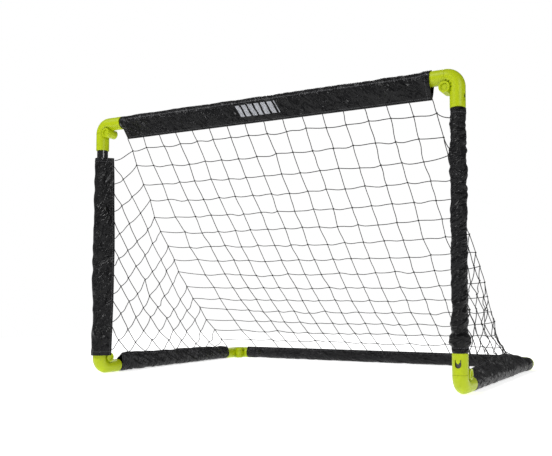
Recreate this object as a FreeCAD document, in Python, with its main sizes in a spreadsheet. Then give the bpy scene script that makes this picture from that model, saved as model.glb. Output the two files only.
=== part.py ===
import FreeCAD, Part
import os

# Folding soccer goal frame: six steel tubes held by six two-part hinged elbows, with fabric
# sleeves and a net.  +Z is up, +X runs along the crossbar, +Y points from the mouth to the back.
# The origin is on the floor, under the middle of the frame.  Lengths are in millimetres.

doc = FreeCAD.newDocument("SoccerGoalFrame")

SIZES = [
    # overall size, measured over the outside of the elbows
    ("outer_width", "914.4"),
    ("outer_height", "609.6"),
    ("outer_depth", "609.6"),
    # one-inch steel tube
    ("tube_od", "25.4"),
    ("tube_wall", "1"),
    # moulded elbow
    ("elbow_od", "30"),
    ("leg_length", "62"),
    ("rim_bevel", "1"),
    ("pivot_offset", "22"),
    ("seam_gap", "0.4"),
    ("tube_stop", "31"),
    ("tube_fit", "0.1"),
    ("hollow_radius", "9"),
    # hinge barrel
    ("barrel_radius", "10.75"),
    ("knuckle_half", "6.5"),
    ("running_gap", "0.35"),
    ("recess_radius", "7"),
    ("recess_depth", "4"),
    # hinge pin and its cap
    ("pin_radius", "4"),
    ("pin_head_radius", "6.8"),
    ("pin_head_height", "2"),
    # snap tongue moulded into the outer side of each leg
    ("tongue_near", "35"),
    ("tongue_tip", "43"),
    ("tongue_far", "50.5"),
    ("tongue_slot_radius", "6.2"),
    ("tongue_tip_half", "1.9"),
    ("tongue_root_half", "4.1"),
    ("tongue_cut_depth", "9"),
    # row of small radial notches round the barrel
    ("notch_inner", "11.6"),
    ("notch_length", "3.2"),
    ("notch_width", "2.2"),
    ("notch_floor", "9.5"),
    # fabric sleeves
    ("sleeve_gap", "0.25"),
    ("sleeve_thickness", "1.4"),
    ("sleeve_end_gap", "1"),
    ("loose_sleeve_inner", "15.35"),
    ("loose_sleeve_bottom", "49.5"),
    ("loose_sleeve_top", "513"),
    # net
    ("twine", "2"),
    ("net_edge", "24"),
    ("net_inset", "18.2"),
    ("net_seam_gap", "0.4"),
    ("net_corner_clear", "7"),
]

DERIVED = [
    ("half_span", "=(outer_width - elbow_od) / 2"),
    ("half_depth", "=(outer_depth - elbow_od) / 2"),
    ("axis_low", "=elbow_od / 2"),
    ("axis_high", "=outer_height - elbow_od / 2"),
    ("elbow_radius", "=elbow_od / 2"),
    ("tube_radius", "=tube_od / 2"),
    ("rise", "=outer_height - elbow_od"),
    ("slope_length", "=rise * sqrt(2) - 2 * net_edge"),
    ("side_inset", "=net_edge / sqrt(2)"),
    ("side_depth", "=slope_length / 2 - net_corner_clear"),
    ("back_width", "=2 * (half_span - net_inset - twine / 2 - net_seam_gap)"),
]

BACK_STRANDS = 20
BACK_ROWS = 18
SIDE_STRANDS = 18
SIDE_ROWS = 8
NOTCH_ANGLES = (194, 220, 246, 272, 298)

X = FreeCAD.Vector(1, 0, 0)
Y = FreeCAD.Vector(0, 1, 0)
Z = FreeCAD.Vector(0, 0, 1)

# Each corner: its position as signs (x, y) and height, the direction of the leg that carries the
# bend, the direction of the leg that swings on the barrel, and the way the pin's head faces.
CORNERS = {
    "top_left": ((-1, -1, "axis_high"), X, -Z, -Y),
    "top_right": ((1, -1, "axis_high"), -Z, -X, -Y),
    "front_left": ((-1, -1, "axis_low"), Y, Z, -X),
    "front_right": ((1, -1, "axis_low"), Y, Z, X),
    "rear_left": ((-1, 1, "axis_low"), X, -Y, Z),
    "rear_right": ((1, 1, "axis_low"), -X, -Y, Z),
}
# These two pivots carry the whole front frame and are left open in the swinging half.
OPEN_CORNERS = ("front_left", "front_right")

nodes = []


def fill_sheet():
    sheet = doc.addObject("Spreadsheet::Sheet", "Sizes")
    for row, (alias, value) in enumerate(SIZES + DERIVED, start=1):
        sheet.set(f"A{row}", alias)
        sheet.set(f"B{row}", value)
        sheet.setAlias(f"B{row}", alias)
    doc.recompute()


def ref(text):
    """Turn bare cell names into references to the sheet."""
    words = {alias for alias, _ in SIZES + DERIVED}
    out = []
    word = ""
    for char in text + " ":
        if char.isalnum() or char == "_":
            word += char
            continue
        out.append(f"Sizes.{word}" if word in words else word)
        out.append(char)
        word = ""
    return "".join(out).strip()


def place(obj, base=("0", "0", "0"), rotation=None):
    if rotation is not None:
        obj.Placement = FreeCAD.Placement(FreeCAD.Vector(), rotation)
    for axis, text in zip("xyz", base):
        obj.setExpression(f"Placement.Base.{axis}", ref(text))
    return obj


def turn_z_to(direction):
    return FreeCAD.Rotation(Z, direction)


def solid(kind, name, base=("0", "0", "0"), rotation=None, **sizes):
    obj = doc.addObject(kind, name)
    for prop, text in sizes.items():
        obj.setExpression(prop, ref(text))
    return place(obj, base, rotation)


def cylinder(name, radius, height, base=("0", "0", "0"), direction=Z):
    return solid("Part::Cylinder", name, base, turn_z_to(direction), Radius=radius, Height=height)


def block(name, length, width, height, base, rotation=None):
    return solid("Part::Box", name, base, rotation, Length=length, Width=width, Height=height)


def fuse(name, parts):
    obj = doc.addObject("Part::MultiFuse", name)
    obj.Shapes = parts
    obj.Refine = True
    return obj


def cut(name, base, tool):
    obj = doc.addObject("Part::Cut", name)
    obj.Base = base
    obj.Tool = tool
    obj.Refine = True
    return obj


def node(obj, label):
    obj.Label = label
    nodes.append(obj)
    return obj


def straight_leg(tag, along, start):
    """Outside of one leg, from `start` along X or Y to its bevelled mouth."""
    base = (start, "0", "0") if along == X else ("0", start, "0")
    shell = cylinder(f"{tag}_shell", "elbow_radius", f"leg_length - rim_bevel - ({start})", base, along)
    rim_at = "leg_length - rim_bevel"
    rim_base = (rim_at, "0", "0") if along == X else ("0", rim_at, "0")
    rim = solid(
        "Part::Cone", f"{tag}_rim", rim_base, turn_z_to(along),
        Radius1="elbow_radius", Radius2="elbow_radius - rim_bevel * 0.7", Height="rim_bevel",
    )
    return [shell, rim]


def leg_bores(tag, along, start):
    """Hollow of one leg: a narrow neck from `start` to the tube stop, then the tube's seat."""
    def at(text):
        return (text, "0", "0") if along == X else ("0", text, "0")
    neck = cylinder(f"{tag}_neck", "hollow_radius", f"tube_stop - ({start})", at(start), along)
    seat = cylinder(
        f"{tag}_seat", "tube_radius + tube_fit", "leg_length - tube_stop + 1", at("tube_stop"), along
    )
    return [neck, seat]


def tongue_slot(tag, along):
    """U-shaped slot through the leg's outer side, which leaves a springy tongue."""
    # in this frame x runs along the leg, y outwards through the wall, z round the leg
    if along == X:
        rotation = FreeCAD.Rotation(X, -Y, -Z, "XYZ")
    else:
        rotation = FreeCAD.Rotation(Y, -X, Z, "XYZ")
    end = cylinder(
        f"{tag}_slot_end", "tongue_slot_radius", "tongue_cut_depth",
        ("tongue_near + tongue_slot_radius", "elbow_radius + 1 - tongue_cut_depth", "0"), Y,
    )
    body = block(
        f"{tag}_slot_body", "tongue_far - tongue_near - tongue_slot_radius", "tongue_cut_depth",
        "2 * tongue_slot_radius",
        ("tongue_near + tongue_slot_radius", "elbow_radius + 1 - tongue_cut_depth",
         "-tongue_slot_radius"),
    )
    tongue = solid(
        "Part::Wedge", f"{tag}_tongue",
        ("tongue_tip", "elbow_radius - tongue_cut_depth", "0"),
        Xmin="0", Xmax="tongue_far - tongue_tip + 1", X2min="0",
        X2max="tongue_far - tongue_tip + 1",
        Ymin="0", Ymax="tongue_cut_depth + 2",
        Zmin="-tongue_root_half", Zmax="tongue_root_half",
        Z2min="-tongue_root_half", Z2max="tongue_root_half",
    )
    tip_sides = []
    for side, base_z in (("low", "-tongue_root_half"), ("high", "tongue_tip_half")):
        tip_sides.append(block(
            f"{tag}_tip_{side}", "2.4", "tongue_cut_depth + 2", "tongue_root_half - tongue_tip_half",
            ("tongue_tip", "elbow_radius - tongue_cut_depth", base_z),
        ))
    narrow_tongue = cut(f"{tag}_tongue_shape", tongue, fuse(f"{tag}_tip_sides", tip_sides))
    slot = cut(f"{tag}_slot", fuse(f"{tag}_slot_blank", [end, body]), narrow_tongue)
    return place(slot, rotation=rotation)


def barrel(tag, radius, half):
    return cylinder(
        tag, radius, f"2 * ({half})", ("pivot_offset", "pivot_offset", f"-({half})"), Z
    )


def barrel_band(tag, radius, inner, outer):
    """The two outer bands of the barrel's length, from `inner` to `outer` each side of middle."""
    height = f"({outer}) - ({inner})"
    return [
        cylinder(f"{tag}_upper", radius, height, ("pivot_offset", "pivot_offset", inner)),
        cylinder(f"{tag}_lower", radius, height, ("pivot_offset", "pivot_offset", f"-({outer})")),
    ]


def notches(tag):
    out = []
    for number, angle in enumerate(NOTCH_ANGLES):
        rotation = FreeCAD.Rotation(Z, angle)
        for side, floor in (("top", "notch_floor"), ("under", "-elbow_radius - 1")):
            box = block(
                f"{tag}_notch_{side}{number}", "notch_length", "notch_width",
                "elbow_radius - notch_floor + 1",
                (
                    f"pivot_offset + notch_inner * cos({angle}) + notch_width / 2 * sin({angle})",
                    f"pivot_offset + notch_inner * sin({angle}) - notch_width / 2 * cos({angle})",
                    floor,
                ),
                rotation,
            )
            out.append(box)
    return out


def bend_half(tag, hinged):
    """Half with the quarter bend, its straight leg on X and the barrel's outer knuckles."""
    bend = solid(
        "Part::Torus", f"{tag}_bend", ("pivot_offset", "pivot_offset", "0"),
        FreeCAD.Rotation(Z, 180), Radius1="pivot_offset", Radius2="elbow_radius",
    )
    bend.Angle3 = 90
    outside = [bend, barrel(f"{tag}_barrel", "barrel_radius", "elbow_radius")]
    outside += straight_leg(tag, X, "pivot_offset")
    hollow = solid(
        "Part::Torus", f"{tag}_hollow", ("pivot_offset", "pivot_offset", "0"),
        FreeCAD.Rotation(Z, 180), Radius1="pivot_offset", Radius2="hollow_radius",
    )
    hollow.Angle3 = 90
    taken = [hollow] + leg_bores(tag, X, "pivot_offset")
    taken.append(barrel(f"{tag}_pin_bore", "pin_radius", "elbow_radius + 1"))
    taken += barrel_band(
        f"{tag}_recess", "recess_radius", "elbow_radius - recess_depth", "elbow_radius + 1"
    )
    if hinged:
        taken.append(barrel(
            f"{tag}_knuckle_room", "barrel_radius + running_gap", "knuckle_half + running_gap"
        ))
    taken.append(tongue_slot(tag, X))
    taken += notches(tag)
    return cut(f"{tag}_half", fuse(f"{tag}_outside", outside), fuse(f"{tag}_taken", taken))


def socket_half(tag, hinged):
    """Swinging half: a straight leg on Y, with the middle knuckle where the pin passes it."""
    start = "pivot_offset + seam_gap"
    outside = straight_leg(tag, Y, start)
    taken = leg_bores(tag, Y, "pivot_offset - 1")
    if hinged:
        knuckle = barrel(f"{tag}_knuckle", "barrel_radius", "knuckle_half")
        outside.append(knuckle)
        taken += barrel_band(
            f"{tag}_band", "barrel_radius + running_gap", "knuckle_half", "elbow_radius + 1"
        )
        taken.append(barrel(f"{tag}_pin_room", "pin_radius + running_gap", "elbow_radius"))
    else:
        taken.append(barrel(
            f"{tag}_saddle", "barrel_radius + running_gap", "elbow_radius + 1"
        ))
    taken.append(tongue_slot(tag, Y))
    return cut(f"{tag}_half", fuse(f"{tag}_outside", outside), fuse(f"{tag}_taken", taken))


def corner_base(spot, shift=FreeCAD.Vector(), distance="0"):
    """Expressions for a corner's centre, moved by `shift` times `distance`."""
    side_x, side_y, height = spot
    centre = (f"{side_x} * half_span", f"{side_y} * half_depth", height)
    return tuple(f"{c} + {round(s)} * ({distance})" for c, s in zip(centre, shift))


def hinge_pin(tag):
    """Headed pin, head up: it stands on the floor of the barrel's recess."""
    shaft = cylinder(
        f"{tag}_shaft", "pin_radius", "2 * (elbow_radius - recess_depth) + pin_head_height / 2",
        ("0", "0", "-(elbow_radius - recess_depth) - pin_head_height / 2"),
    )
    head = cylinder(
        f"{tag}_head", "pin_head_radius", "pin_head_height", ("0", "0", "elbow_radius - recess_depth")
    )
    return fuse(f"{tag}_pin", [shaft, head])


def pin_cap(tag):
    """Round cap pressed on the pin's plain end."""
    disc = cylinder(
        f"{tag}_disc", "pin_head_radius", "pin_head_height",
        ("0", "0", "-(elbow_radius - recess_depth) - pin_head_height"),
    )
    seat = cylinder(
        f"{tag}_cap_seat", "pin_radius", "pin_head_height / 2",
        ("0", "0", "-(elbow_radius - recess_depth) - pin_head_height / 2"),
    )
    return cut(f"{tag}_cap", disc, seat)


def corner(name):
    spot, bend_leg, swing_leg, head_way = CORNERS[name]
    frame = FreeCAD.Rotation(bend_leg, swing_leg, bend_leg.cross(swing_leg), "XYZ")
    hinged = name not in OPEN_CORNERS
    bend = place(bend_half(f"{name}_bend_side", hinged), corner_base(spot), frame)
    node(bend, f"{name}_elbow")
    socket = place(socket_half(f"{name}_socket_side", hinged), corner_base(spot), frame)
    node(socket, f"{name}_socket")
    inward = corner_base(spot, bend_leg + swing_leg, "pivot_offset")
    node(place(hinge_pin(name), inward, turn_z_to(head_way)), f"{name}_hinge_pin")
    node(place(pin_cap(name), inward, turn_z_to(head_way)), f"{name}_pin_cap")


def ring(tag, outer, inner, length):
    outside = cylinder(f"{tag}_outside", outer, length)
    inside = cylinder(f"{tag}_inside", inner, f"{length} + 2", ("0", "0", "-1"))
    return cut(f"{tag}_ring", outside, inside)


def tube_and_sleeve(name, spot, direction, span):
    """One steel tube between two elbows and the close-fitting sleeve between their mouths."""
    tube = ring(name, "tube_radius", "tube_radius - tube_wall", f"{span} - 2 * tube_stop")
    place(tube, corner_base(spot, direction, "tube_stop"), turn_z_to(direction))
    node(tube, f"{name}_tube")
    if name == "left_post":
        sleeve = ring(
            f"{name}_cover", "loose_sleeve_inner + sleeve_thickness", "loose_sleeve_inner",
            "loose_sleeve_top - loose_sleeve_bottom",
        )
        place(sleeve, ("-half_span", "-half_depth", "loose_sleeve_bottom"))
    else:
        inner = "tube_radius + sleeve_gap"
        sleeve = ring(
            f"{name}_cover", f"{inner} + sleeve_thickness", inner,
            f"({span} - 2 * leg_length - 2 * sleeve_end_gap)",
        )
        start = corner_base(spot, direction, "leg_length + sleeve_end_gap")
        place(sleeve, start, turn_z_to(direction))
    node(sleeve, f"{name}_sleeve")


def net_back():
    """Sloping panel: strands down the slope and rows across it, in one plane."""
    strands = []
    for n in range(BACK_STRANDS):
        at = f"(back_width - twine) * {n / (BACK_STRANDS - 1)} - back_width / 2"
        strands.append(block(f"back_strand{n}", "twine", "slope_length", "twine", (at, "0", "0")))
    for n in range(BACK_ROWS):
        at = f"(slope_length - twine) * {n / (BACK_ROWS - 1)}"
        row = block(f"back_row{n}", "back_width", "twine", "twine", ("-back_width / 2", at, "0"))
        strands.append(row)
    panel = fuse("back_panel", strands)
    # the panel's own y runs down the slope from the crossbar to the rear tube
    down = FreeCAD.Rotation(X, -45)
    drop = "side_inset"
    lift = "twine / 2 / sqrt(2)"
    place(panel, ("0", f"-half_depth + {drop} - {lift}", f"axis_high - {drop} - {lift}"), down)
    node(panel, "net_back")


def side_panel(name, side):
    """Upright triangle with strands square to the slope and rows along it."""
    # in this frame y runs down the slope and z inwards, to the corner of post and base
    strands = []
    for n in range(1, SIDE_STRANDS - 1):
        share = n / (SIDE_STRANDS - 1)
        length = f"min(slope_length * {min(share, 1 - share)}, side_depth)"
        at = f"slope_length * {share} - twine / 2"
        strands.append(block(f"{name}_strand{n}", "twine", "twine", length, ("0", at, "0")))
    for n in range(SIDE_ROWS + 1):
        depth = f"side_depth * {n / SIDE_ROWS}"
        length = f"slope_length - 2 * {depth}"
        at = ("0", depth, f"{depth} - twine / 2" if n else "0")
        strands.append(block(f"{name}_row{n}", "twine", length, "twine", at))
    hem_length = "side_depth * sqrt(2)"
    hem_step = "twine / sqrt(2)"
    hems = (
        ("top", ("0", "0", "0"), -45),
        ("bottom", ("0", f"slope_length - {hem_step}", f"-({hem_step})"), 45),
    )
    for end, base, tilt in hems:
        hem = block(
            f"{name}_hem_{end}", "twine", "twine", hem_length, base, FreeCAD.Rotation(X, tilt)
        )
        strands.append(hem)
    panel = fuse(f"{name}_panel", strands)
    frame = FreeCAD.Rotation(-X, Y - Z, -Y - Z, "XYZ")
    across = f"{side} * (half_span - net_inset) + twine / 2"
    top = (across, "-half_depth + side_inset", "axis_high - side_inset")
    node(place(panel, top, frame), name)


def build():
    fill_sheet()
    for name in CORNERS:
        corner(name)
    low_left = (-1, -1, "axis_low")
    low_right = (1, -1, "axis_low")
    tube_and_sleeve("crossbar", (-1, -1, "axis_high"), X, "2 * half_span")
    tube_and_sleeve("left_post", low_left, Z, "rise")
    tube_and_sleeve("right_post", low_right, Z, "rise")
    tube_and_sleeve("left_base", low_left, Y, "2 * half_depth")
    tube_and_sleeve("right_base", low_right, Y, "2 * half_depth")
    tube_and_sleeve("rear_base", (-1, 1, "axis_low"), X, "2 * half_span")
    net_back()
    side_panel("net_left_side", -1)
    side_panel("net_right_side", 1)
    doc.recompute()


def check_and_export():
    for obj in doc.Objects:
        if "Invalid" in obj.State or "Error" in obj.State:
            raise RuntimeError(f"{obj.Label} is in state {obj.State}")
    os.makedirs("parts", exist_ok=True)
    for obj in nodes:
        shape = obj.Shape
        if shape.isNull() or not shape.isValid() or len(shape.Solids) != 1:
            raise RuntimeError(f"{obj.Label} has a bad shape with {len(shape.Solids)} solids")
        shape.exportStep(f"parts/{obj.Label}.step")


build()
check_and_export()
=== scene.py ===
import math

import bmesh
import bpy
from mathutils import Matrix, Vector, noise


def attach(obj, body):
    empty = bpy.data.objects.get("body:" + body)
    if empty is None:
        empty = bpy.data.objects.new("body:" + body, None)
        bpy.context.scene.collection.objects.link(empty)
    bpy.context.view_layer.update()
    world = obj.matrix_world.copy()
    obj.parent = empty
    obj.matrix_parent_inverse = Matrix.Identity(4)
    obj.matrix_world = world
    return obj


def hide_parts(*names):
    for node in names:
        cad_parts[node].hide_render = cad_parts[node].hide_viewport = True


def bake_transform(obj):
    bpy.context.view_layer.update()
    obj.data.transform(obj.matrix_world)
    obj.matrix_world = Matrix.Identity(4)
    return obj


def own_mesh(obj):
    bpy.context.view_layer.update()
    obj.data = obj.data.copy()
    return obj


# A folding soccer goal frame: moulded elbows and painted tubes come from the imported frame, and
# this file gives them their finishes and makes the six fabric sleeves, the net and the stage.

bl_info = {
    "name": "Soccer Goal Frame",
    "version": (1, 0, 0),
    "blender": (4, 5, 0),
    "location": "3D Viewport > Sidebar > Goal",
    "description": "Makes the finishes, fabric sleeves and net of a folding soccer goal",
    "category": "Object",
}

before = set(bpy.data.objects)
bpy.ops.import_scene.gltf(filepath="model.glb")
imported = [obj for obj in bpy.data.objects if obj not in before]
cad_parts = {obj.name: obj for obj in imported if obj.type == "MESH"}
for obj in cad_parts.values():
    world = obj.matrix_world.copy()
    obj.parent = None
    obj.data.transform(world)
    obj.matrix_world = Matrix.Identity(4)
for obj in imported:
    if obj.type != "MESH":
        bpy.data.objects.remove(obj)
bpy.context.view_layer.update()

CORNERS = ("top_left", "top_right", "front_left", "front_right", "rear_left", "rear_right")
TUBES = ("crossbar", "left_post", "right_post", "left_base", "right_base", "rear_base")

HALF_SPAN = 0.4422
HALF_DEPTH = 0.2898
LOW = 0.015
HIGH = 0.5946
LEG = 0.063

# Scales of the weave and the stitching on the cloth
THREADS_PER_METRE = 640.0
STITCHES_PER_METRE = 260.0

# Where the camera stands, and the point that it looks at
CAMERA_PLACE = (0.8567, -1.6261, 0.1765)
CAMERA_AIM = (0.167, -HALF_DEPTH, 0.259)
LAMP_AIM = (0.0, 0.0, 0.25)

# Ends of the hems that the back of the net is sewn into, as points in the frame
CROSSBAR_HEM = (Vector((-0.365, -0.2885, 0.556)), Vector((0.392, -0.2885, 0.556)))
REAR_HEM = (Vector((-0.385, 0.280, 0.034)), Vector((0.380, 0.280, 0.034)))
LEFT_FOOT = Vector((-0.428, 0.215, 0.037))


class GoalSizes(bpy.types.PropertyGroup):
    """Sizes of the soft parts that a maker would change"""

    twine: bpy.props.FloatProperty(
        name="Twine", description="Thickness of the net's twine",
        default=0.0019, min=0.0005, max=0.006, unit="LENGTH",
    )
    knot: bpy.props.FloatProperty(
        name="Knot", description="Radius of a knot of the net",
        default=0.0019, min=0.0005, max=0.008, unit="LENGTH",
    )
    columns: bpy.props.IntProperty(
        name="Columns", description="Meshes across the back of the net", default=16, min=4,
    )
    rows: bpy.props.IntProperty(
        name="Rows", description="Rows of knots down the slope of the net", default=15, min=4,
    )
    back_sag: bpy.props.FloatProperty(
        name="Back Sag", description="How far the middle of the back hangs below its slope",
        default=0.040, min=0.0, max=0.2, unit="LENGTH",
    )
    edge_sag: bpy.props.FloatProperty(
        name="Edge Sag", description="How far the side edges of the back hang below the slope",
        default=0.030, min=0.0, max=0.2, unit="LENGTH",
    )
    edge_draw: bpy.props.FloatProperty(
        name="Edge Draw", description="How far the side edges of the back are drawn outwards",
        default=0.010, min=0.0, max=0.1, unit="LENGTH",
    )
    cloth: bpy.props.FloatProperty(
        name="Cloth", description="Thickness of the sleeve fabric",
        default=0.0007, min=0.0002, max=0.003, unit="LENGTH",
    )


class GoalColours(bpy.types.PropertyGroup):
    """Colours of the finishes"""

    plastic: bpy.props.FloatVectorProperty(
        name="Plastic", description="Moulded elbows, pins and caps", subtype="COLOR",
        size=3, default=(0.43, 0.53, 0.0012), min=0.0, max=1.0,
    )
    paint: bpy.props.FloatVectorProperty(
        name="Paint", description="Painted steel tubes", subtype="COLOR",
        size=3, default=(0.006, 0.006, 0.0065), min=0.0, max=1.0,
    )
    upright_cloth: bpy.props.FloatVectorProperty(
        name="Upright Cloth", description="Fabric of the crossbar and post sleeves",
        subtype="COLOR", size=3, default=(0.0042, 0.0042, 0.0048), min=0.0, max=1.0,
    )
    # Same black fabric as the upright sleeves, painted lighter: painted light that stands in for
    # the light falling on the floor sleeves from above.
    lit_base_cloth: bpy.props.FloatVectorProperty(
        name="Lit Base Cloth", description="Fabric of the sleeves on the floor", subtype="COLOR",
        size=3, default=(0.010, 0.010, 0.011), min=0.0, max=1.0,
    )
    thread: bpy.props.FloatVectorProperty(
        name="Thread", description="Sewing thread", subtype="COLOR",
        size=3, default=(0.085, 0.085, 0.09), min=0.0, max=1.0,
    )
    twine: bpy.props.FloatVectorProperty(
        name="Twine", description="Net twine", subtype="COLOR",
        size=3, default=(0.010, 0.010, 0.011), min=0.0, max=1.0,
    )
    mark: bpy.props.FloatVectorProperty(
        name="Mark", description="Plain printed bars on the crossbar sleeve", subtype="COLOR",
        size=3, default=(0.42, 0.43, 0.46), min=0.0, max=1.0,
    )
    floor: bpy.props.FloatVectorProperty(
        name="Floor", description="Studio floor", subtype="COLOR",
        size=3, default=(0.92, 0.92, 0.92), min=0.0, max=1.0,
    )


# ---------------------------------------------------------------- materials


class Finish:
    """One node material, with short ways to add and join its nodes."""

    def __init__(self, name):
        self.material = bpy.data.materials.new(name)
        self.material.use_nodes = True
        self.tree = self.material.node_tree
        self.shader = next(n for n in self.tree.nodes if n.type == "BSDF_PRINCIPLED")

    def node(self, kind, **settings):
        made = self.tree.nodes.new(kind)
        for key, value in settings.items():
            setattr(made, key, value)
        return made

    def feed(self, socket, value):
        if isinstance(value, bpy.types.NodeSocket):
            self.tree.links.new(value, socket)
        else:
            socket.default_value = value

    def math(self, operation, first, second=0.0, third=0.0, clamp=False):
        made = self.node("ShaderNodeMath", operation=operation, use_clamp=clamp)
        for socket, value in zip(made.inputs, (first, second, third)):
            self.feed(socket, value)
        return made.outputs[0]

    def mix(self, share, first, second):
        made = self.node("ShaderNodeMix", data_type="RGBA")
        self.feed(made.inputs["Factor"], share)
        for slot, value in ((6, first), (7, second)):
            if not isinstance(value, bpy.types.NodeSocket):
                value = (*value[:3], 1.0)
            self.feed(made.inputs[slot], value)
        return made.outputs[2]

    def place(self, uv=False, scale=(1.0, 1.0, 1.0)):
        source = self.node("ShaderNodeTexCoord").outputs["UV" if uv else "Object"]
        mapping = self.node("ShaderNodeMapping")
        self.feed(mapping.inputs["Vector"], source)
        mapping.inputs["Scale"].default_value = scale
        return mapping.outputs["Vector"]

    def drawn_out(self, vector, angle, long):
        """Turn the texture space and stretch it, so that patterns run along `angle`."""
        mapping = self.node("ShaderNodeMapping", vector_type="TEXTURE")
        self.feed(mapping.inputs["Vector"], vector)
        mapping.inputs["Rotation"].default_value = (0.0, 0.0, angle)
        mapping.inputs["Scale"].default_value = (long, 1.0, 1.0)
        return mapping.outputs["Vector"]

    def noise(self, vector, scale, detail=3.0, distortion=0.0):
        made = self.node("ShaderNodeTexNoise")
        self.feed(made.inputs["Vector"], vector)
        made.inputs["Scale"].default_value = scale
        made.inputs["Detail"].default_value = detail
        made.inputs["Distortion"].default_value = distortion
        return made.outputs["Fac"]

    def bands(self, vector, direction, scale):
        made = self.node(
            "ShaderNodeTexWave", wave_type="BANDS", bands_direction=direction,
        )
        self.feed(made.inputs["Vector"], vector)
        made.inputs["Scale"].default_value = scale
        return made.outputs["Fac"]

    def spread(self, value, low, high, new_low, new_high):
        made = self.node("ShaderNodeMapRange", clamp=True)
        for socket, given in zip(made.inputs, (value, low, high, new_low, new_high)):
            self.feed(socket, given)
        return made.outputs[0]

    def bump(self, height, distance, strength=1.0, under=None):
        made = self.node("ShaderNodeBump")
        self.feed(made.inputs["Height"], height)
        made.inputs["Distance"].default_value = distance
        made.inputs["Strength"].default_value = strength
        if under is not None:
            self.feed(made.inputs["Normal"], under)
        return made.outputs["Normal"]

    def shade(self, colour, roughness, normal, **constants):
        self.feed(self.shader.inputs["Base Color"], colour)
        self.feed(self.shader.inputs["Roughness"], roughness)
        self.feed(self.shader.inputs["Normal"], normal)
        for name, value in constants.items():
            self.shader.inputs[name.replace("_", " ")].default_value = value
        return self.material


def scaled(colour, share):
    return tuple(channel * share for channel in colour)


def moulded_plastic(colour):
    """Matte polypropylene: faint mottling, fine spark texture, handling scuffs."""
    finish = Finish("elbow_plastic")
    spot = finish.place()
    mottle = finish.noise(spot, 22.0, 4.0)
    scuff = finish.noise(finish.place(scale=(1.0, 1.0, 3.0)), 160.0, 6.0, 1.2)
    grain = finish.noise(spot, 1900.0, 2.0)
    worn = finish.spread(scuff, 0.60, 0.80, 0.0, 0.2)
    body = finish.mix(finish.spread(mottle, 0.3, 0.7, 0.0, 1.0), scaled(colour, 0.93), colour)
    pale = tuple(min(1.0, channel * 1.08 + 0.01) for channel in colour)
    tint = finish.mix(worn, body, pale)
    rough = finish.spread(scuff, 0.35, 0.75, 0.36, 0.52)
    swell = finish.bump(mottle, 0.0004, 0.25)
    normal = finish.bump(grain, 0.00003, 0.25, swell)
    return finish.shade(
        tint, rough, normal, IOR=1.49, Specular_IOR_Level=0.32, Coat_Weight=0.03,
        Coat_Roughness=0.25,
    )


def painted_steel(colour):
    """Gloss black powder coat: orange peel, dust specks and fine scratches."""
    finish = Finish("tube_paint")
    spot = finish.place()
    peel = finish.noise(spot, 420.0, 2.0)
    dust = finish.noise(spot, 900.0, 5.0)
    scratch = finish.noise(finish.place(scale=(1.0, 1.0, 0.06)), 700.0, 3.0, 0.6)
    dusty = finish.spread(dust, 0.64, 0.74, 0.0, 0.5)
    tint = finish.mix(dusty, colour, (0.045, 0.045, 0.046))
    rough = finish.spread(scratch, 0.35, 0.75, 0.16, 0.34)
    normal = finish.bump(scratch, 0.00003, 0.3, finish.bump(peel, 0.0001, 0.35))
    return finish.shade(
        tint, rough, normal, IOR=1.5, Coat_Weight=0.5, Coat_Roughness=0.12,
    )


def woven_cloth(name, colour, thread, length, lean, seams, marks=None):
    """Coated polyester: plain weave, crumpled satin face, rows of stitching and crease ridges
    painted lighter as painted highlights.
    """
    finish = Finish(name)
    cloth = finish.place(uv=True)
    split = finish.node("ShaderNodeSeparateXYZ")
    finish.feed(split.inputs[0], cloth)
    along, across = split.outputs[0], split.outputs[1]
    spot = finish.place()
    warp = finish.bands(cloth, "X", THREADS_PER_METRE)
    weft = finish.bands(cloth, "Y", THREADS_PER_METRE)
    weave = finish.math("MULTIPLY", warp, weft)
    crumple = finish.noise(finish.drawn_out(cloth, lean, 2.6), 75.0, 2.0, 0.6)
    crease = finish.noise(finish.drawn_out(cloth, lean + 0.35, 2.0), 60.0, 2.0, 1.6)
    shade = finish.noise(spot, 14.0, 4.0)
    ridge = finish.math("ABSOLUTE", finish.math("SUBTRACT", crease, 0.5))
    sharp = finish.spread(ridge, 0.0, 0.10, 1.0, 0.0)
    patchy = finish.spread(shade, 0.3, 0.7, 0.0, 1.0)
    dye = finish.mix(patchy, scaled(colour, 0.8), scaled(colour, 1.2))
    # painted highlight: the crease ridges are painted lighter, where a satin fold would catch the
    # light
    painted_crease_highlight = finish.mix(finish.math("MULTIPLY", sharp, 0.16), dye, scaled(colour, 3.0))
    tint = finish.mix(finish.math("MULTIPLY", weave, 0.25), painted_crease_highlight, scaled(colour, 1.6))
    # stitching: short dashes beside each hem, and along the open ends
    dash = dashes(finish, along)
    rows = 0.0
    for place, half in seams:
        gap = finish.math("ABSOLUTE", finish.math("SUBTRACT", across, place))
        rows = finish.math("MAXIMUM", rows, finish.spread(gap, half * 0.7, half, 1.0, 0.0))
    end_gap = finish.math(
        "ABSOLUTE",
        finish.math("SUBTRACT", finish.math("PINGPONG", along, length / 2), 0.009),
    )
    end_row = finish.spread(end_gap, 0.0003, 0.0005, 1.0, 0.0)
    ends = finish.math("MULTIPLY", end_row, dashes(finish, across))
    stitch = finish.math("MAXIMUM", finish.math("MULTIPLY", rows, dash), ends)
    tint = finish.mix(stitch, tint, thread)
    if marks is not None:
        tint = finish.mix(printed_bars(finish, along, across, *marks[:4]), tint, marks[4])
    rough = finish.spread(shade, 0.3, 0.7, 0.26, 0.40)
    folds = finish.bump(crumple, 0.016, 1.0)
    creased = finish.bump(sharp, 0.0012, 0.6, folds)
    woven = finish.bump(weave, 0.00006, 0.15, creased)
    normal = finish.bump(stitch, 0.0004, 0.6, woven)
    return finish.shade(
        tint, rough, normal, IOR=1.5, Specular_IOR_Level=0.18, Sheen_Weight=0.01,
        Sheen_Roughness=0.45, Sheen_Tint=(0.8, 0.8, 0.85, 1.0),
    )


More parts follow.
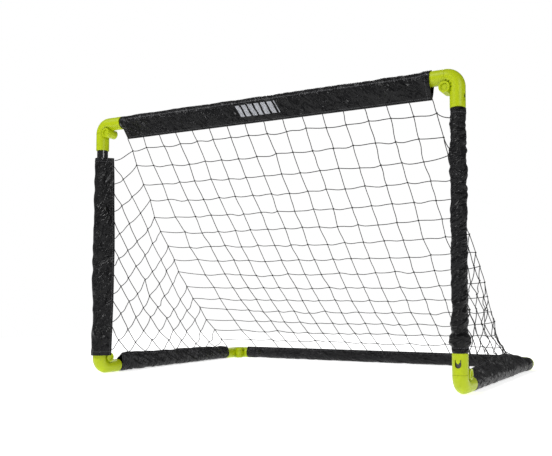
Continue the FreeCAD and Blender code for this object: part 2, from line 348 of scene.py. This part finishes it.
def dashes(finish, distance):
    """Share of thread along a row of stitches, which leaves a short gap after each stitch."""
    part = finish.math("FRACT", finish.math("MULTIPLY", distance, STITCHES_PER_METRE))
    return finish.spread(part, 0.62, 0.70, 1.0, 0.0)


def printed_bars(finish, along, across, middle, half_length, low, high):
    """Share of ink of a row of plain slanting bars."""
    slope = finish.math("MULTIPLY_ADD", across, -0.45, along)
    offset = finish.math("SUBTRACT", slope, middle - 0.45 * (low + high) / 2)
    inside = finish.math("LESS_THAN", finish.math("ABSOLUTE", offset), half_length)
    above = finish.math("GREATER_THAN", across, low)
    below = finish.math("LESS_THAN", across, high)
    bar = finish.math(
        "LESS_THAN", finish.math("FRACT", finish.math("MULTIPLY", offset, 62.0)), 0.68
    )
    row = finish.math("MULTIPLY", inside, bar)
    ink = finish.math("MULTIPLY", row, finish.math("MULTIPLY", above, below))
    return finish.math("MULTIPLY", ink, 0.92)


def net_twine(colour):
    """Braided polyester twine: helical ribs and a dry, fuzzy surface."""
    finish = Finish("net_twine")
    spot = finish.place()
    ribs = finish.bands(finish.place(scale=(1.0, 0.6, 1.4)), "DIAGONAL", 170.0)
    fuzz = finish.noise(spot, 1500.0, 4.0)
    shade = finish.noise(spot, 30.0, 3.0)
    patchy = finish.spread(shade, 0.3, 0.7, 0.0, 1.0)
    body = finish.mix(patchy, scaled(colour, 0.7), scaled(colour, 1.5))
    tint = finish.mix(finish.math("MULTIPLY", ribs, 0.4), body, scaled(colour, 2.2))
    rough = finish.spread(fuzz, 0.3, 0.7, 0.6, 0.85)
    normal = finish.bump(fuzz, 0.00006, 0.5, finish.bump(ribs, 0.0002, 0.6))
    return finish.shade(tint, rough, normal, Sheen_Weight=0.15, Sheen_Roughness=0.5)


def studio_floor(colour):
    finish = Finish("studio_floor")
    spot = finish.place()
    patch = finish.noise(spot, 3.0, 4.0)
    fine = finish.noise(spot, 240.0, 3.0)
    tint = finish.mix(finish.spread(patch, 0.3, 0.7, 0.0, 1.0), scaled(colour, 0.995), colour)
    return finish.shade(
        tint, finish.spread(fine, 0.3, 0.7, 0.75, 0.9), finish.bump(fine, 0.0001, 0.1),
        Specular_IOR_Level=0.1, Emission_Color=(1.0, 1.0, 1.0, 1.0), Emission_Strength=0.68,
    )


# ---------------------------------------------------------------- sleeves

# Each sleeve: the start and the direction of its tube, its length, the way its hem points, the
# hem's distance from the tube's axis at start, middle and end, the body it rides on, and its folds.
SLEEVES = {
    "crossbar_sleeve": dict(
        start=(-HALF_SPAN + LEG, -HALF_DEPTH, HIGH), along=(1, 0, 0), hem=(0, 0.03, -1),
        length=0.771, reach=(0.0405, 0.0405, 0.0405), radius=0.0141,
        body="crossbar", folds="diagonal", slant=(0.016, 0.0), cloth="upright",
    ),
    "left_post_sleeve": dict(
        start=(-HALF_SPAN, -HALF_DEPTH, 0.043), along=(0, 0, 1), hem=(0.97, 0.24, 0),
        length=0.471, reach=(0.031, 0.036, 0.031), radius=0.0166,
        body="left_post", folds="slack", slant=(0.0, 0.0), cloth="upright",
    ),
    "right_post_sleeve": dict(
        start=(HALF_SPAN, -HALF_DEPTH, LOW + LEG), along=(0, 0, 1), hem=(-0.45, 0.89, 0),
        length=HIGH - LOW - 2 * LEG, reach=(0.021, 0.022, 0.021), radius=0.0141,
        body="right_post", folds="bunched", slant=(0.0, 0.0), cloth="upright",
    ),
    "left_base_sleeve": dict(
        start=(-HALF_SPAN, -HALF_DEPTH + LEG, LOW), along=(0, 1, 0), hem=(0.36, 0, 0.93),
        length=2 * (HALF_DEPTH - LEG), reach=(0.034, 0.030, 0.022), radius=0.0139,
        body="left_side", folds="gathered", slant=(0.0, 0.0), cloth="base",
    ),
    "right_base_sleeve": dict(
        start=(HALF_SPAN, -HALF_DEPTH + LEG, LOW), along=(0, 1, 0), hem=(-0.22, 0, 0.975),
        length=2 * (HALF_DEPTH - LEG) + 0.027, reach=(0.024, 0.039, 0.0150), radius=0.0139,
        body="right_side", folds="gathered", slant=(0.0, 0.0), cloth="base", peak=0.58,
    ),
    "rear_base_sleeve": dict(
        start=(-HALF_SPAN + LEG - 0.018, HALF_DEPTH, LOW), along=(1, 0, 0), hem=(0, -0.45, 0.89),
        length=2 * (HALF_SPAN - LEG) + 0.018, reach=(0.020, 0.021, 0.021), radius=0.0139,
        body="rear_bar", folds="drawn", slant=(0.0, 0.0), cloth="base",
    ),
}
# Direction of the fine folds on the cloth, from along the tube to square to it
FOLD_LEAN = {"diagonal": 0.75, "slack": 0.5, "bunched": 1.0, "gathered": 1.35, "drawn": 0.3}
RINGS = 64
STEP = 0.0026


def select_only(obj):
    bpy.ops.object.select_all(action="DESELECT")
    obj.select_set(True)
    bpy.context.view_layer.objects.active = obj


def wrap(share, radius, reach):
    """Towards the hem, sideways, and the outward normal, at `share` of the way round."""
    reach = max(reach, radius * 1.03)
    turn = math.acos(radius / reach)
    flat = math.sqrt(reach * reach - radius * radius)
    arc = 2 * radius * (math.pi - turn)
    at = share * (2 * flat + arc)
    side = 1.0
    if at > flat + arc:
        at, side = 2 * flat + arc - at, -1.0
    if at <= flat:
        part = at / flat
        out = reach + (radius * math.cos(turn) - reach) * part
        return out, side * radius * math.sin(turn) * part, math.cos(turn), side * math.sin(turn)
    angle = turn + (at - flat) / radius
    return radius * math.cos(angle), radius * math.sin(angle), math.cos(angle), math.sin(angle)


def girth(radius, reach):
    reach = max(reach, radius * 1.03)
    turn = math.acos(radius / reach)
    return 2 * math.sqrt(reach * reach - radius * radius) + 2 * radius * (math.pi - turn)


def rumple(x, y, z, seed):
    return noise.noise(Vector((x + seed * 7.31, y - seed * 3.17, z + seed * 1.93)))


def fold_depth(kind, at, out, side, reach, seed):
    """How far the cloth stands off its smooth shape, in metres."""
    share = (out + 0.016) / (reach + 0.016)
    if kind == "diagonal":
        lean = at + 0.9 * out * (1 if side > 0 else -1)
        broad = rumple(lean * 24, out * 26, side * 30, seed)
        fine = rumple(lean * 70, out * 60 + at * 12, side * 40, seed + 1)
        seam = math.exp(-((out + 0.001) / 0.004) ** 2) * rumple(at * 190, side * 9, 0.0, seed + 2)
        loose = 0.22 + 0.78 * min(1.0, max(0.0, (out + 0.004) / 0.014))
        return loose * (0.0052 * broad + 0.0028 * fine) + 0.0012 * seam + 0.0008
    if kind == "slack":
        broad = rumple(at * 11, out * 34, side * 34, seed)
        fine = rumple((at + out * 1.2) * 42, out * 55, side * 55, seed + 1)
        return 0.0040 * broad + 0.0030 * fine + 0.0008
    if kind == "bunched":
        swirl = rumple(at * 38 + side * 26, out * 52, side * 52, seed)
        rings = rumple(at * 95, out * 26 + side * 16, side * 26, seed + 1)
        loose = 0.45 + 0.55 * min(1.0, max(0.0, (at - 0.2) / 0.12))
        loose = max(loose, min(1.0, max(0.0, (0.12 - at) / 0.05)))
        return loose * (0.0042 * swirl + 0.0034 * abs(rings)) + 0.0007
    if kind == "gathered":
        ruffle = rumple(at * 44 + 4 * share, side * 20, share * 1.2, seed)
        pleat = 0.5 - 2 * abs(rumple(at * 60 + 6 * share, side * 22, share * 1.7, seed + 1))
        lift = 0.2 + 0.8 * min(1.0, max(0.0, share)) ** 0.9
        return lift * (0.0060 * ruffle + 0.0040 * pleat) + 0.0006
    drawn = rumple(at * 30 + out * 40, side * 34, out * 34, seed)
    fine = rumple(at * 88, side * 44, out * 44, seed + 1)
    return 0.0014 * drawn + 0.0009 * fine + 0.0005


def sleeve_mesh(name, plan, thickness):
    """Grid of cloth, wrapped round its tube, sewn along the hem and given its folds."""
    seed = 3 + 5 * list(SLEEVES).index(name)
    steps = round(plan["length"] / STEP)
    bpy.ops.object.select_all(action="DESELECT")
    bpy.ops.mesh.primitive_grid_add(
        x_subdivisions=steps, y_subdivisions=RINGS, size=1.0, calc_uvs=True,
    )
    piece = bpy.context.active_object
    piece.name = piece.data.name = name
    along = Vector(plan["along"])
    hem = Vector(plan["hem"]).normalized()
    sideways = along.cross(hem)
    start = Vector(plan["start"])
    first, middle, last = plan["reach"]
    broad = girth(plan["radius"], middle)
    layer = piece.data.uv_layers.active.data
    for corner in layer:
        corner.uv = (corner.uv[0] * plan["length"], corner.uv[1] * broad)
    for vertex in piece.data.vertices:
        u, share = vertex.co.x + 0.5, vertex.co.y + 0.5
        at = u * plan["length"]
        peak = plan.get("peak", 0.5)
        if u < peak:
            reach = first + (middle - first) * (1 - (1 - u / peak) ** 2)
        else:
            reach = middle + (last - middle) * ((u - peak) / (1 - peak)) ** 1.6
        radius, cuff = sleeve_radius(name, plan, at)
        out, side, normal_out, normal_side = wrap(share, radius, reach)
        amount = fold_depth(plan["folds"], at, out, side, reach, seed)
        near_hem = min(1.0, min(share, 1 - share) / 0.10)
        end = min(at, plan["length"] - at)
        settle = min(1.0, 0.35 + end / 0.03)
        amount = max(amount * settle, -0.0006) * near_hem + cuff * near_hem
        if end < 0.008:
            amount += 0.0005 * near_hem
        out += normal_out * amount
        side += normal_side * amount
        towards_hem = max(0.0, (out - 0.2 * reach) / reach)
        if plan["folds"] == "gathered":
            side += 0.0060 * towards_hem * rumple(at * 34, 0.0, 0.0, seed + 4)
        elif plan["folds"] in ("diagonal", "slack"):
            side += 0.0035 * towards_hem * rumple(at * 9, 0.0, 0.0, seed + 4)
        shift = end_shift(plan, u, out, reach)
        place = start + along * (at + shift) + hem * out + sideways * side
        place.z = max(place.z, 0.0006)
        vertex.co = place
    bpy.ops.object.mode_set(mode="EDIT")
    bpy.ops.mesh.select_all(action="SELECT")
    bpy.ops.mesh.remove_doubles(threshold=0.00005)
    bpy.ops.object.mode_set(mode="OBJECT")
    face_outwards(piece, start, along)
    select_only(piece)
    bpy.ops.object.shade_smooth()
    wall = piece.modifiers.new("cloth", "SOLIDIFY")
    wall.thickness = thickness
    wall.offset = -1.0
    bpy.ops.object.modifier_apply(modifier="cloth")
    return piece


# Ends that are pulled over an elbow's leg: how much of the sleeve lies on the leg
OVER_LEG = {
    "crossbar_sleeve": (0.0, 0.013),
    "right_base_sleeve": (0.0, 0.028),
    "rear_base_sleeve": (0.019, 0.0),
}
LEG_RADIUS = 0.0160


def step_up(distance, edge, ramp=0.010):
    """1 where the cloth lies on the leg, easing to 0 a little way past its mouth."""
    part = min(1.0, max(0.0, (edge + ramp - distance) / ramp))
    return part * part * (3 - 2 * part) if edge > 0 else 0.0


def sleeve_radius(name, plan, at):
    """Radius of the tube part, and the extra height of a cuff."""
    radius = plan["radius"]
    cuff = 0.0
    first, last = OVER_LEG.get(name, (0.0, 0.0))
    lifted = max(step_up(at, first), step_up(plan["length"] - at, last))
    radius += (LEG_RADIUS - radius) * lifted
    if name == "right_post_sleeve":
        band = math.exp(-((at - 0.023) / 0.0105) ** 6)
        cuff = (0.0046 + 0.0014 * rumple(at * 60, 0.0, 0.0, 9)) * band
        cuff -= 0.0006 * math.exp(-((at - 0.040) / 0.004) ** 2)
    if name == "left_post_sleeve":
        # loose at the foot, where it hangs over the socket
        radius += 0.0012 * max(0.0, 1 - at / 0.06)
    return radius, cuff


def end_shift(plan, u, out, reach):
    """Slanting cut of the two ends: the hem corner is drawn in."""
    first, last = plan["slant"]
    low = max(0.0, (out + 0.014) / (reach + 0.014))
    if u < 0.5:
        return first * low * (1 - 2 * u) ** 3
    return -last * low * (2 * u - 1) ** 3


def face_outwards(piece, start, along):
    """Turn the faces over if they look at the tube."""
    total = 0.0
    for face in piece.data.polygons:
        away = face.center - start
        away -= along * away.dot(along)
        total += face.normal.dot(away)
    if total < 0:
        select_only(piece)
        bpy.ops.object.mode_set(mode="EDIT")
        bpy.ops.mesh.select_all(action="SELECT")
        bpy.ops.mesh.flip_normals()
        bpy.ops.object.mode_set(mode="OBJECT")


def make_sleeves(names):
    sizes = bpy.context.scene.goal_sizes
    colours = bpy.context.scene.goal_colours
    for name in names:
        plan = SLEEVES[name]
        piece = sleeve_mesh(name, plan, sizes.cloth)
        broad = girth(plan["radius"], plan["reach"][1])
        lean = FOLD_LEAN[plan["folds"]]
        seams = [(0.0045, 0.0005), (broad - 0.0045, 0.0005)]
        marks = None
        if name == "crossbar_sleeve":
            seams.append((broad - 0.047, 0.0011))
            seams.append((0.047, 0.0011))
            marks = (0.383, 0.0505, broad - 0.041, broad - 0.016, colours.mark)
        # The floor sleeves take the lighter copy of the black fabric, painted lighter for the light
        # falling on them from above.
        colour = colours.lit_base_cloth if plan["cloth"] == "base" else colours.upright_cloth
        cloth = woven_cloth(
            name.replace("sleeve", "cloth"), tuple(colour), tuple(colours.thread),
            plan["length"], lean, seams, marks,
        )
        piece.data.materials.clear()
        piece.data.materials.append(cloth)
        piece.name = piece.data.name = name.replace("sleeve", "cover")
        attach(piece, plan["body"])
        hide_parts(name)


# ---------------------------------------------------------------- net


def back_point(u, v, sizes):
    """Point of the hanging back panel: u across from -1 to 1, v down the slope from 0 to 1."""
    share = (u + 1) / 2
    top = CROSSBAR_HEM[0].lerp(CROSSBAR_HEM[1], share)
    bottom = REAR_HEM[0].lerp(REAR_HEM[1], share)
    bottom = bottom.lerp(LEFT_FOOT, max(0.0, 1 - share * 10) ** 1.5)
    hang = 4 * v * (1 - v) * (0.8 + 0.4 * v)
    edge = abs(u) ** 3
    sag = (sizes.back_sag + (sizes.edge_sag - sizes.back_sag) * edge) * hang
    out = sizes.edge_draw * hang * edge * (1 if u > 0 else -1)
    return top.lerp(bottom, v) + Vector((out, -sag * math.sqrt(0.5), -sag * math.sqrt(0.5)))


def row_share(row, sizes):
    """Share of the slope at one row of knots; the first mesh below the crossbar is short."""
    if row == 0:
        return 0.0
    return min(1.0, (row - 0.4) / (sizes.rows + 0.5))


def slack(crossing, amount, seed):
    """Move one knot a little off the even pattern."""
    return crossing + Vector((
        amount * rumple(crossing.x * 31, crossing.y * 23, crossing.z * 27, seed),
        amount * rumple(crossing.x * 27, crossing.y * 31, crossing.z * 23, seed + 1),
        amount * rumple(crossing.x * 23, crossing.y * 27, crossing.z * 31, seed + 2),
    ))


def hang_twine(knots, dip, curl, seed):
    """Twine through these knots, drooping and curling a little between them."""
    line = []
    for number, (a, b) in enumerate(zip(knots, knots[1:])):
        span = b - a
        cross = span.cross(Vector((0.3, 1.0, 0.2))).normalized()
        twist = rumple(a.x * 90 + number, a.y * 90, a.z * 90, seed)
        bow = rumple(a.z * 80, a.x * 80 - number, a.y * 80, seed + 1)
        for step in range(6):
            t = step / 6
            arch = 4 * t * (1 - t)
            wave = math.sin(2 * math.pi * t)
            point = a + span * t
            point.z -= dip * arch
            line.append(point + cross * (curl * (twist * wave + 0.9 * bow * arch)))
    line.append(knots[-1])
    return line


def net_piece(name, lines, crossings, sizes):
    """Round twine along the lines, and a knot on each crossing, as one mesh."""
    curve = bpy.data.curves.new(name, "CURVE")
    curve.dimensions = "3D"
    curve.bevel_depth = sizes.twine / 2
    curve.bevel_resolution = 1
    curve.use_fill_caps = True
    for line in lines:
        spline = curve.splines.new("POLY")
        spline.points.add(len(line) - 1)
        for point, place in zip(spline.points, line):
            point.co = (*place, 1.0)
    piece = bpy.data.objects.new(name, curve)
    bpy.context.scene.collection.objects.link(piece)
    select_only(piece)
    bpy.ops.object.convert(target="MESH")
    piece = bpy.context.active_object
    shape = bmesh.new()
    shape.from_mesh(piece.data)
    for number, place in enumerate(crossings):
        turn = Matrix.Rotation(0.8 * number, 4, "Y") @ Matrix.Scale(1.35, 4, (0.7, 0, 0.7))
        bmesh.ops.create_icosphere(
            shape, subdivisions=1, radius=sizes.knot, matrix=Matrix.Translation(place) @ turn,
        )
    shape.to_mesh(piece.data)
    shape.free()
    select_only(piece)
    bpy.ops.object.shade_smooth()
    piece.data.materials.clear()
    twine = bpy.data.materials.get("net_twine")
    if twine is None:
        twine = net_twine(tuple(bpy.context.scene.goal_colours.twine))
    piece.data.materials.append(twine)
    return piece


def back_knots(sizes):
    knots = {}
    for row in range(sizes.rows + 2):
        for column in range(sizes.columns + 1):
            u, v = 2 * column / sizes.columns - 1, row_share(row, sizes)
            place = back_point(u, v, sizes)
            if 0 < row <= sizes.rows:
                place = slack(place, 0.0045 + 0.004 * abs(u) ** 6, 11)
            knots[row, column] = place
    return knots


SIDE_HEMS = {
    # top of the post hem, the corner where post hem and base hem would meet, end of the base hem
    "left": (Vector((-0.4105, -0.2822, 0.556)), Vector((-0.4105, -0.2822, 0.047)),
             Vector((-0.432, 0.220, 0.036))),
    "right": (Vector((0.4327, -0.2711, 0.556)), Vector((0.4365, -0.2711, 0.040)),
              Vector((0.430, 0.262, 0.036))),
}


POST_COVER_TOP = {"left": 0.508, "right": 0.527}


def side_hem_point(side, v):
    """Where a strand that leaves the slope's edge at v is sewn to the post or the base sleeve."""
    top, corner, end = SIDE_HEMS[side]
    if v <= 0.5:
        return top.lerp(corner, v / 0.5)
    return corner.lerp(end, (v - 0.5) / 0.5)


def side_net_lines(side, sizes, knots):
    """Strands square to the slope and rows along it, from the back panel's edge to the hems."""
    column = 0 if side == "left" else sizes.columns
    depth_step = 2.0 / (sizes.rows + 1)
    levels = (sizes.rows + 1) // 2
    every = range(1, sizes.rows + 1)
    strands = {row: [knots[row, column]] for row in every}
    found = {}
    for row in every:
        v = row_share(row, sizes)
        deepest = 2 * min(v, 1 - v)
        foot = side_hem_point(side, v)
        foot.z = min(foot.z, POST_COVER_TOP[side])
        for level in range(1, levels + 1):
            depth = level * depth_step
            if depth >= deepest - 0.04:
                break
            share = depth / deepest
            place = knots[row, column].lerp(foot, share)
            place.z -= 0.008 * math.sin(math.pi * share)
            place = slack(place, 0.006 + 0.006 * v, 23)
            found[row, level] = place
            strands[row].append(place)
        strands[row].append(foot)
    lines = [
        hang_twine(line, 0.002 + 0.0003 * row, 0.003 + 0.0008 * row, 31 + row)
        for row, line in strands.items()
    ]
    for level in range(1, levels + 1):
        cut = level * depth_step / 2
        ends = side_hem_point(side, cut), side_hem_point(side, 1 - cut)
        middle = [found[row, level] for row in every if (row, level) in found]
        if middle:
            lines.append(hang_twine([ends[0], *middle, ends[1]], 0.001, 0.0035, 61 + level))
    return lines, list(found.values())


# ---------------------------------------------------------------- operators


class GOAL_OT_hardware(bpy.types.Operator):
    """Give the moulded elbows, pins, caps and painted tubes their finishes"""

    bl_idname = "goal.hardware"
    bl_label = "Finish Elbows and Tubes"

    def execute(self, context):
        colours = context.scene.goal_colours
        plastic = moulded_plastic(tuple(colours.plastic))
        paint = painted_steel(tuple(colours.paint))
        for corner in CORNERS:
            for part in ("elbow", "socket", "hinge_pin", "pin_cap"):
                self.dress(f"{corner}_{part}", plastic)
        for tube in TUBES:
            self.dress(f"{tube}_tube", paint)
        return {"FINISHED"}

    @staticmethod
    def dress(node, material):
        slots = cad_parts[node].material_slots
        if not slots:
            raise RuntimeError(f"{node} has no material slot")
        for slot in slots:
            slot.material = material


class GOAL_OT_crossbar_cover(bpy.types.Operator):
    """Sew the printed sleeve that hangs from the crossbar"""

    bl_idname = "goal.crossbar_cover"
    bl_label = "Make Crossbar Sleeve"

    def execute(self, context):
        make_sleeves(["crossbar_sleeve"])
        return {"FINISHED"}


class GOAL_OT_post_covers(bpy.types.Operator):
    """Sew the sleeves of the two posts"""

    bl_idname = "goal.post_covers"
    bl_label = "Make Post Sleeves"

    def execute(self, context):
        make_sleeves(["left_post_sleeve", "right_post_sleeve"])
        return {"FINISHED"}


class GOAL_OT_base_covers(bpy.types.Operator):
    """Sew the gathered sleeves of the three tubes on the floor"""

    bl_idname = "goal.base_covers"
    bl_label = "Make Base Sleeves"

    def execute(self, context):
        make_sleeves(["left_base_sleeve", "right_base_sleeve", "rear_base_sleeve"])
        return {"FINISHED"}


class GOAL_OT_back_net(bpy.types.Operator):
    """Knot the back panel of the net, from the crossbar's hem to the rear hem"""

    bl_idname = "goal.back_net"
    bl_label = "Make Back Net"

    def execute(self, context):
        sizes = context.scene.goal_sizes
        knots = back_knots(sizes)
        lines = []
        for column in range(sizes.columns + 1):
            strand = [knots[row, column] for row in range(sizes.rows + 2)]
            lines.append(hang_twine(strand, 0.0, 0.0022, 100 + column))
        for row in range(1, sizes.rows + 1):
            across = [knots[row, column] for column in range(sizes.columns + 1)]
            lines.append(hang_twine(across, 0.0020, 0.0026, 200 + row))
        crossings = [place for (row, _), place in knots.items() if 0 < row <= sizes.rows]
        piece = net_piece("back_netting", lines, crossings, sizes)
        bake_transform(piece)
        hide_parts("net_back")
        return {"FINISHED"}


class GOAL_OT_side_nets(bpy.types.Operator):
    """Knot the two three-cornered side panels of the net"""

    bl_idname = "goal.side_nets"
    bl_label = "Make Side Nets"

    def execute(self, context):
        sizes = context.scene.goal_sizes
        knots = back_knots(sizes)
        for side in ("left", "right"):
            lines, crossings = side_net_lines(side, sizes, knots)
            piece = net_piece(f"{side}_netting", lines, crossings, sizes)
            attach(piece, f"{side}_side")
            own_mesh(piece)
            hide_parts(f"net_{side}_side")
        return {"FINISHED"}


class GOAL_OT_stage(bpy.types.Operator):
    """Lay the pale floor and set the soft studio light and the camera"""

    bl_idname = "goal.stage"
    bl_label = "Set Stage"

    def execute(self, context):
        scene = context.scene
        bpy.ops.object.select_all(action="DESELECT")
        bpy.ops.mesh.primitive_plane_add(size=3.8, location=(0, -0.2, 0))
        floor = context.active_object
        floor.name = floor.data.name = "studio_floor"
        floor.data.materials.append(studio_floor(tuple(scene.goal_colours.floor)))
        world = bpy.data.worlds.new("studio_world")
        scene.world = world
        world.use_nodes = True
        tree = world.node_tree
        sky = tree.nodes["Background"]
        sky.inputs["Color"].default_value = (1.0, 1.0, 1.0, 1.0)
        seen = tree.nodes.new("ShaderNodeLightPath").outputs["Is Camera Ray"]
        spread = tree.nodes.new("ShaderNodeMapRange")
        spread.inputs["To Min"].default_value = 0.20
        spread.inputs["To Max"].default_value = 1.0
        tree.links.new(seen, spread.inputs["Value"])
        tree.links.new(spread.outputs[0], sky.inputs["Strength"])
        scene.view_settings.view_transform = "Standard"
        self.softbox("key_light", (-1.4, -2.2, 2.7), 1.2, 72.0)
        self.softbox("side_light", (2.5, -1.7, 1.5), 1.0, 26.0)
        self.softbox("rear_light", (-1.2, 2.4, 2.2), 1.4, 30.0)
        self.camera(scene)
        return {"FINISHED"}

    @staticmethod
    def softbox(name, place, size, power):
        lamp = bpy.data.lights.new(name, "AREA")
        lamp.shape = "SQUARE"
        lamp.size = size
        lamp.energy = power
        holder = bpy.data.objects.new(name, lamp)
        bpy.context.scene.collection.objects.link(holder)
        holder.location = place
        aim = Vector(LAMP_AIM) - Vector(place)
        holder.rotation_euler = aim.to_track_quat("-Z", "Y").to_euler()

    @staticmethod
    def camera(scene):
        lens = bpy.data.cameras.new("view_camera")
        lens.lens = 48.65
        lens.sensor_width = 36.0
        lens.shift_x = -0.0924
        lens.shift_y = 0.0543
        lens.clip_end = 60.0
        holder = bpy.data.objects.new("view_camera", lens)
        scene.collection.objects.link(holder)
        aim = Vector(CAMERA_AIM) - Vector(CAMERA_PLACE)
        holder.location = CAMERA_PLACE
        holder.rotation_mode = "QUATERNION"
        holder.rotation_quaternion = aim.to_track_quat("-Z", "Y")
        scene.camera = holder


class GOAL_PT_panel(bpy.types.Panel):
    """Steps that make the goal's soft parts and finishes"""

    bl_idname = "GOAL_PT_panel"
    bl_label = "Soccer Goal"
    bl_space_type = "VIEW_3D"
    bl_region_type = "UI"
    bl_category = "Goal"

    def draw(self, context):
        for group in (context.scene.goal_sizes, context.scene.goal_colours):
            for name in group.__annotations__:
                self.layout.prop(group, name)
        for step in STEPS:
            self.layout.operator(step.bl_idname)


STEPS = (
    GOAL_OT_stage, GOAL_OT_hardware, GOAL_OT_crossbar_cover, GOAL_OT_post_covers,
    GOAL_OT_base_covers, GOAL_OT_back_net, GOAL_OT_side_nets,
)
CLASSES = (GoalSizes, GoalColours, *STEPS, GOAL_PT_panel)


def register():
    for item in CLASSES:
        bpy.utils.register_class(item)
    bpy.types.Scene.goal_sizes = bpy.props.PointerProperty(type=GoalSizes)
    bpy.types.Scene.goal_colours = bpy.props.PointerProperty(type=GoalColours)


def unregister():
    del bpy.types.Scene.goal_colours
    del bpy.types.Scene.goal_sizes
    for item in reversed(CLASSES):
        bpy.utils.unregister_class(item)


def main():
    register()
    for step in STEPS:
        group, name = step.bl_idname.split(".")
        getattr(getattr(bpy.ops, group), name)()


if __name__ == "__main__":
    main()
